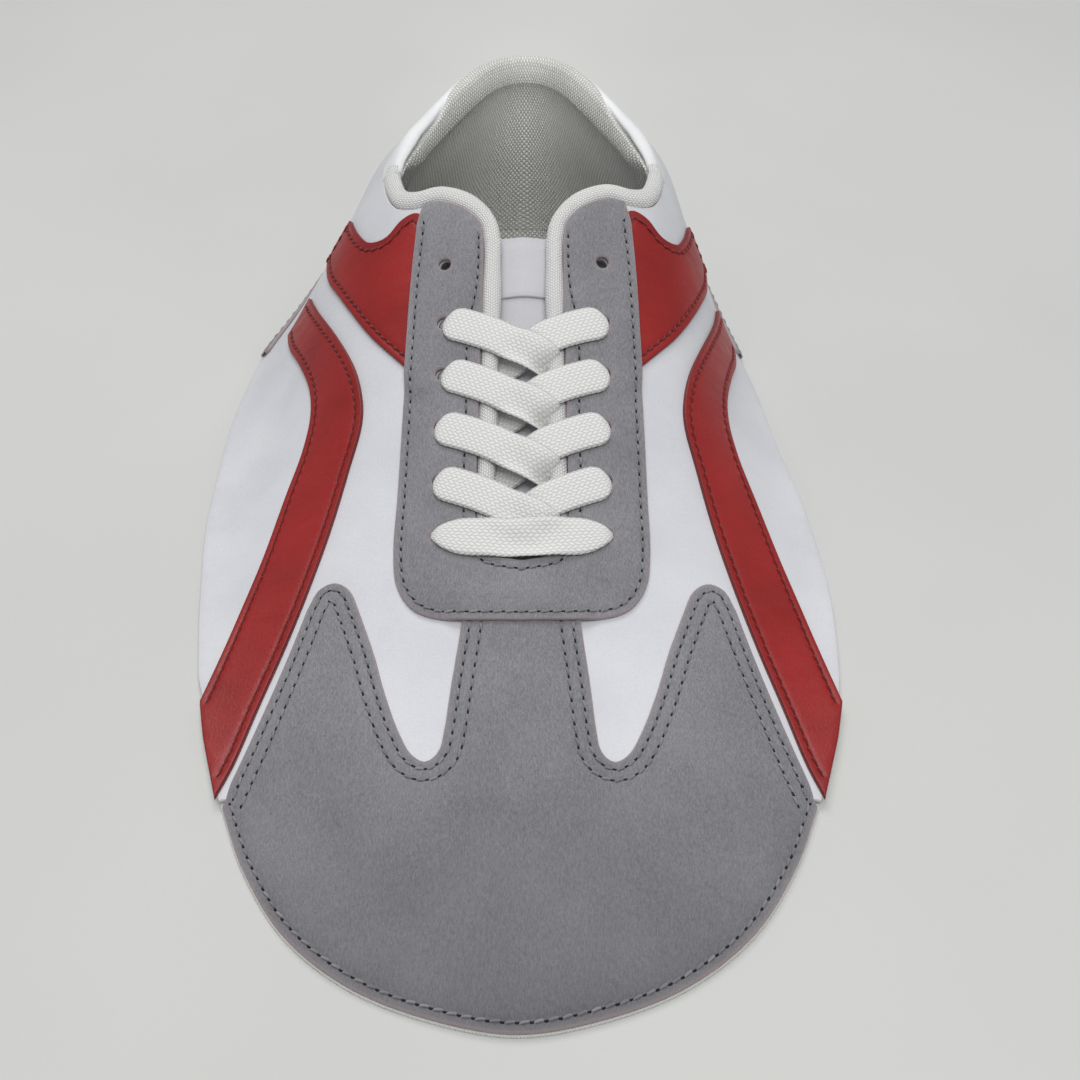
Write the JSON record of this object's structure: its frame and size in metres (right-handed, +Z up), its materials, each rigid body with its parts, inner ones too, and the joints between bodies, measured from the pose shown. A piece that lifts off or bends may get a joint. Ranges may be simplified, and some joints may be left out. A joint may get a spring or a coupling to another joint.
{
  "type": "bowling shoe upper",
  "caption": "Stitched upper of a low bowling shoe, before lasting: white leather halves, grey suede toe, eyestay and heel, red bands, padded collar, tongue and flat lace.",
  "frame": {"origin": "middle of the footprint on the table, under the upper", "axes": "+Y from toe to heel, +Z up from the table, +X towards the medial side of this right shoe"},
  "size_m": [0.1676, 0.2856, 0.0723],
  "materials": {
    "white_leather": "smooth semi-matt synthetic leather with a fine grain",
    "grey_suede": "short-nap suede",
    "red_leather": "smooth semi-matt synthetic leather",
    "mesh_lining": "coarse woven mesh lining",
    "smooth_lining": "thin woven lining",
    "lace_white": "flat woven cotton",
    "binding_white": "woven tubular binding",
    "collar_white": "soft padded cover",
    "foam": "open-cell foam, taken as a light fabric",
    "board": "fibre stiffener",
    "grey_thread": "twisted sewing thread",
    "red_thread": "twisted sewing thread",
    "clear_plastic": "pressed film tip"
  },
  "bodies": {
    "upper": {"collar_foam": "foam", "collar_roll": "collar_white", "eyestay": "grey_suede", "eyestay_thread": "grey_thread", "heel_counter": "board", "heel_foxing": "grey_suede", "heel_foxing_thread": "grey_thread", "heel_lining": "mesh_lining", "lateral_aglet": "clear_plastic", "lateral_collar_panel": "red_leather", "lateral_collar_panel_thread": "red_thread", "lateral_eyelet_tape": "board", "lateral_half_upper": "white_leather", "lateral_quarter_lining": "smooth_lining", "lateral_side_stripe": "red_leather", "lateral_stripe_thread_inner": "red_thread", "lateral_stripe_thread_outer": "red_thread", "lateral_throat_binding": "binding_white", "lateral_wing_thread_inner": "grey_thread", "lateral_wing_thread_outer": "grey_thread", "medial_aglet": "clear_plastic", "medial_collar_panel": "red_leather", "medial_collar_panel_thread": "red_thread", "medial_eyelet_tape": "board", "medial_half_upper": "white_leather", "medial_quarter_lining": "smooth_lining", "medial_side_stripe": "red_leather", "medial_stripe_thread_inner": "red_thread", "medial_stripe_thread_outer": "red_thread", "medial_throat_binding": "binding_white", "medial_wing_thread_inner": "grey_thread", "medial_wing_thread_outer": "grey_thread", "shoelace": "lace_white", "throat_thread": "grey_thread", "toe_edge_thread": "grey_thread", "toe_overlay": "grey_suede", "vamp_lining": "smooth_lining"},
    "tongue": {"tongue_foam": "foam", "tongue_lining": "mesh_lining", "tongue_outer": "white_leather", "tongue_patch": "white_leather"}
  },
  "joints": [
    {"name": "tongue_fold", "type": "hinge", "parent": "upper", "child": "tongue", "pos_m": [0.00375, -0.038, 0.0135], "axis": [1, 0, 0], "range_deg": [-15, 0], "stiffness_Nm_per_rad": 0.5}
  ]
}
